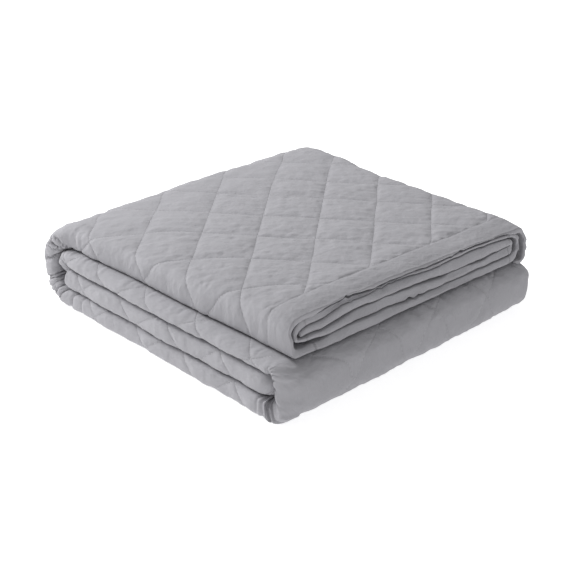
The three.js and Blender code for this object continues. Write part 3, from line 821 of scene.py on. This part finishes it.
# Creases where the turns bend
round_turn = np.clip((np.degrees(theta) - 120) / 130, 0, 1)
pleated = np.zeros_like(lift)
for name, outer, inner, crease, width in PLEATS:
    item = STACK[name]
    away = where - (item["start"] + lerp(outer, inner, round_turn) * item["length"])
    away = np.sqrt((away + 0.8 * noise_line(theta * 2, outer * 90)) ** 2 + 0.25) - 0.5
    above = name == FRONT_BEND and outer > PLEAT_LOWEST
    first, full = PLEAT_START_FRONT if above else PLEAT_START
    strength = np.where(in_shoulder, smooth(theta, math.radians(first), math.radians(full)), 0)
    pleated = pleated + np.where(side > 0.9, crease * np.exp(-away / width) * strength, 0)
bounded = PLEAT_DEEPEST * np.tanh(pleated / PLEAT_DEEPEST)
lift = lift - np.where(piece == BACK_BEND, pleated, bounded)

# A roll rises only as far as the room before the next strip, and the cloth is thicker behind the pleats
ROOM, ROOM_INNER = 0.45, -0.3
THICKER_BEHIND = 1.6
room = np.where(piece == INNER_BEND, ROOM_INNER, ROOM) + 2 * LAYER + CLOTH / 2 - np.abs(depth - STRIP / 2)
meets = in_roll & ((theta > math.pi) | np.isin(piece, (SECOND_RUN, INNER_BEND, THIRD_RUN)))
lift = np.where(meets, np.minimum(lift, room), lift)
behind = in_shoulder & (side < -0.9) & np.isin(piece, (BACK_BEND, FRONT_BEND))
lift = lift + np.where(behind, THICKER_BEHIND * sideways, 0)

# The mesh in metres, with the relief along its normals
METRE = 0.001
mesh = bpy.data.meshes.new("blanket_cloth")
points = np.stack([x - MIDDLE_X, y, z], axis=1) * METRE
mesh.from_pydata(points.tolist(), [], polygons)
mesh.update()
normals = np.empty(len(points) * 3)
mesh.vertices.foreach_get("normal", normals)
points = points + normals.reshape(-1, 3) * (lift * METRE)[:, None]
points[:, 2] = np.maximum(points[:, 2], 0.0)
mesh.vertices.foreach_set("co", points.ravel())
mesh.polygons.foreach_set("use_smooth", np.ones(len(mesh.polygons), bool))
corners = np.empty(len(mesh.loops), int)
mesh.loops.foreach_get("vertex_index", corners)


def add_layer(name, u, v):
    layer = mesh.uv_layers.new(name=name)
    layer.data.foreach_set("uv", np.stack([u, v], axis=1)[corners].ravel())


SEAM_STRONGEST = 1.2
add_layer("sheet", across * METRE, ahead * METRE)
add_layer("run", np.clip(seam_share, 0.0, SEAM_STRONGEST), where * METRE)
add_layer("lattice", p, q)
mesh.update()
blanket = bpy.data.objects.new("blanket_cloth", mesh)
bpy.context.scene.collection.objects.link(blanket)

# Cloth: a fine weave with seams, stitches, crinkles and a slight change of tone, with painted shade along
# the seams and a painted highlight on the lighter thread

CLOTH_COLOUR = (0.335, 0.331, 0.353)
CLOTH_ROUGHNESS = 0.84
SEAM_LINE = 0.7  # widths in millimetres
# width of the painted shade along a seam, in millimetres
PAINTED_SHADE_LINE = 0.6
THREAD = 0.55
STITCH, STITCH_SHARE = 3.2, 0.68
YARN = 0.9
SLUB = 9.0
PATCH = 24.0
LONG_GRAIN = (3.0, 10.0)
ROUND_GRAIN = 4.0
# Shares of the seams, the painted shade along them and the thread beside those of the strongest line
SEAM_B_SHARE, SEAM_HEM_SHARE = 0.85, 0.7
PAINTED_SHADE_A_SHARE, PAINTED_SHADE_HEM_SHARE = 0.4, 0.5
THREAD_HEM_SHARE = 0.7
# What each adds to the height in millimetres, the tone and the roughness
LONG_HEIGHT, ROUND_HEIGHT, YARN_HEIGHT, SLUB_HEIGHT = 0.55, 0.55, 0.018, 0.03
SEAM_HEIGHT, THREAD_HEIGHT = -0.45, 0.25
PATCH_TONE, SLUB_TONE, YARN_TONE, ROUND_TONE = 0.07, 0.08, 0.03, 0.05
# The first tone is painted shade along the seams; the second is the thread's lighter colour, raised further
# as a painted highlight
PAINTED_SHADE_TONE, THREAD_TONE_AND_HIGHLIGHT = -0.13, 0.22
SLUB_ROUGHNESS, THREAD_ROUGHNESS = 0.1, -0.1

material = bpy.data.materials.new("quilted_cloth")
material.use_nodes = True
nodes, links = material.node_tree.nodes, material.node_tree.links
shader = nodes["Principled BSDF"]
shader.inputs["Specular IOR Level"].default_value = 0.25
shader.inputs["Sheen Weight"].default_value = 0.12
shader.inputs["Sheen Roughness"].default_value = 0.55


def feed(value, socket):
    if isinstance(value, (int, float)):
        socket.default_value = value
    else:
        links.new(value, socket)


def calc(operation, *values):
    item = nodes.new("ShaderNodeMath")
    item.operation = operation
    for value, socket in zip(values, item.inputs):
        feed(value, socket)
    return item.outputs[0]


def total(*values):
    result = values[0]
    for value in values[1:]:
        result = calc("ADD", result, value)
    return result


def product(*values):
    result = values[0]
    for value in values[1:]:
        result = calc("MULTIPLY", result, value)
    return result


def coordinates(name):
    source = nodes.new("ShaderNodeUVMap")
    source.uv_map = name
    split = nodes.new("ShaderNodeSeparateXYZ")
    links.new(source.outputs["UV"], split.inputs[0])
    return split.outputs[0], split.outputs[1]


def grain(u, v, detail):
    """Noise between -0.5 and 0.5"""
    joined = nodes.new("ShaderNodeCombineXYZ")
    feed(u, joined.inputs[0])
    feed(v, joined.inputs[1])
    item = nodes.new("ShaderNodeTexNoise")
    item.inputs["Scale"].default_value = 1.0
    item.inputs["Detail"].default_value = detail
    links.new(joined.outputs[0], item.inputs["Vector"])
    return calc("SUBTRACT", item.outputs["Fac"], 0.5)


def from_line(steps, spacing):
    """Distance from the nearest whole number of steps"""
    return product(calc("ABSOLUTE", calc("SUBTRACT", calc("FRACT", total(steps, 0.5)), 0.5)), spacing)


def dashes(distance):
    return calc("LESS_THAN", calc("FRACT", product(distance, 1 / STITCH)), STITCH_SHARE)


def fading(distance, width):
    return calc("EXPONENT", product(distance, -1 / width))


u, v = [product(part, 1 / METRE) for part in coordinates("sheet")]
seam_strength, from_hem = coordinates("run")
from_hem = product(from_hem, 1 / METRE)
steps_a, steps_b = coordinates("lattice")
line_a = from_line(steps_b, APART_A)
line_b = from_line(steps_a, APART_B)
line_hem = calc("ABSOLUTE", calc("SUBTRACT", from_hem, HEM))
quilted = calc("GREATER_THAN", from_hem, HEM)

seam = product(quilted, seam_strength,
               calc("MAXIMUM", fading(line_a, SEAM_LINE), product(fading(line_b, SEAM_LINE), SEAM_B_SHARE)))
seam = calc("MAXIMUM", seam, product(fading(line_hem, SEAM_LINE), SEAM_HEM_SHARE))
# Painted shade: the tone darkens along the seams and the hem's stitching, standing in for the shade in
# their grooves
painted_seam_shade = product(quilted, calc("MINIMUM", seam_strength, 1.0),
                calc("MAXIMUM", product(fading(line_a, PAINTED_SHADE_LINE), PAINTED_SHADE_A_SHARE),
                     fading(line_b, PAINTED_SHADE_LINE)))
painted_seam_shade = calc("MAXIMUM", painted_seam_shade, product(fading(line_hem, PAINTED_SHADE_LINE), PAINTED_SHADE_HEM_SHARE))
# The thread has a lighter colour of its own, and its tone also carries a painted highlight along the seams
on_a = product(calc("LESS_THAN", line_a, THREAD), dashes(product(steps_a, LENGTH_A)))
on_b = product(calc("LESS_THAN", line_b, THREAD), dashes(product(steps_b, LENGTH_B)))
on_hem = product(calc("LESS_THAN", line_hem, THREAD), dashes(u))
thread = product(quilted, seam_strength, calc("MAXIMUM", on_a, on_b))
thread = calc("MAXIMUM", thread, product(on_hem, THREAD_HEM_SHARE))

long_grain = grain(product(steps_a, APART_B / LONG_GRAIN[0]),
                   product(steps_b, LENGTH_B / LONG_GRAIN[1]), 3.0)
round_grain = grain(product(u, 1 / ROUND_GRAIN), product(v, 1 / ROUND_GRAIN), 3.0)
yarn = product(calc("SINE", product(u, 2 * math.pi / YARN)), calc("SINE", product(v, 2 * math.pi / YARN)))
slub = grain(product(u, 1 / SLUB), product(v, 1 / YARN), 1.0)
height = total(product(long_grain, LONG_HEIGHT), product(round_grain, ROUND_HEIGHT),
               product(yarn, YARN_HEIGHT), product(slub, SLUB_HEIGHT), product(seam, SEAM_HEIGHT),
               product(thread, THREAD_HEIGHT))
bump = nodes.new("ShaderNodeBump")
bump.inputs["Strength"].default_value = 1.0
bump.inputs["Distance"].default_value = METRE
links.new(height, bump.inputs["Height"])
links.new(bump.outputs["Normal"], shader.inputs["Normal"])

patches = grain(product(u, 1 / PATCH), product(v, 1 / PATCH), 2.0)
# The tone darkens with painted shade along the seams and lightens with a painted highlight on the thread
tone = total(1.0, product(patches, PATCH_TONE), product(slub, SLUB_TONE), product(yarn, YARN_TONE),
             product(round_grain, ROUND_TONE), product(painted_seam_shade, PAINTED_SHADE_TONE), product(thread, THREAD_TONE_AND_HIGHLIGHT))
tint = nodes.new("ShaderNodeVectorMath")
tint.operation = "SCALE"
tint.inputs[0].default_value = CLOTH_COLOUR
links.new(tone, tint.inputs["Scale"])
links.new(tint.outputs[0], shader.inputs["Base Color"])
roughness = total(CLOTH_ROUGHNESS, product(slub, SLUB_ROUGHNESS), product(thread, THREAD_ROUGHNESS))
links.new(roughness, shader.inputs["Roughness"])
mesh.materials.append(material)

# Stage: a pale floor, soft light and the photograph's camera

FLOOR_HALF = 6
FLOOR_GLOW = 0.68
SKY = 0.47
KEY_PLACE, KEY_AIM, KEY_SIZE, KEY_POWER = (-0.6, 1.9, 1.55), (0, 0, 0), 1.2, 68
SENSOR = 36
FOCAL_PIXELS, PICTURE_PIXELS = 1400, 573
CAMERA_PLACE = (-1.0045, -1.035, 0.732)
CAMERA_HEADING, CAMERA_PITCH = math.radians(46), math.radians(26.38)

floor_mesh = bpy.data.meshes.new("floor")
floor_corners = [(-FLOOR_HALF, -FLOOR_HALF, 0), (FLOOR_HALF, -FLOOR_HALF, 0),
                 (FLOOR_HALF, FLOOR_HALF, 0), (-FLOOR_HALF, FLOOR_HALF, 0)]
floor_mesh.from_pydata(floor_corners, [], [(0, 1, 2, 3)])
floor = bpy.data.objects.new("floor", floor_mesh)
bpy.context.scene.collection.objects.link(floor)
floor_material = bpy.data.materials.new("floor")
floor_material.use_nodes = True
floor_shader = floor_material.node_tree.nodes["Principled BSDF"]
floor_shader.inputs["Base Color"].default_value = (0.8, 0.8, 0.8, 1)
floor_shader.inputs["Roughness"].default_value = 0.9
floor_shader.inputs["Emission Color"].default_value = (1, 1, 1, 1)
floor_shader.inputs["Emission Strength"].default_value = FLOOR_GLOW
floor_mesh.materials.append(floor_material)

scene = bpy.context.scene
scene.view_settings.view_transform = "Standard"
world = bpy.data.worlds.new("studio")
world.use_nodes = True
world.node_tree.nodes["Background"].inputs["Color"].default_value = (1, 1, 1, 1)
world.node_tree.nodes["Background"].inputs["Strength"].default_value = SKY
scene.world = world

key_data = bpy.data.lights.new("key", "AREA")
key_data.shape = "DISK"
key_data.size = KEY_SIZE
key_data.energy = KEY_POWER
key = bpy.data.objects.new("key", key_data)
key.location = KEY_PLACE
key.rotation_euler = (Vector(KEY_AIM) - Vector(KEY_PLACE)).to_track_quat("-Z", "Y").to_euler()
scene.collection.objects.link(key)

camera_data = bpy.data.cameras.new("camera")
camera_data.sensor_width = SENSOR
camera_data.lens = SENSOR * FOCAL_PIXELS / PICTURE_PIXELS
camera = bpy.data.objects.new("camera", camera_data)
camera_view = Vector((math.cos(CAMERA_HEADING) * math.cos(CAMERA_PITCH),
                      math.sin(CAMERA_HEADING) * math.cos(CAMERA_PITCH), -math.sin(CAMERA_PITCH)))
camera.location = CAMERA_PLACE
camera.rotation_euler = camera_view.to_track_quat("-Z", "Y").to_euler()
scene.collection.objects.link(camera)
scene.camera = camera

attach(blanket, "root")
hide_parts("blanket")
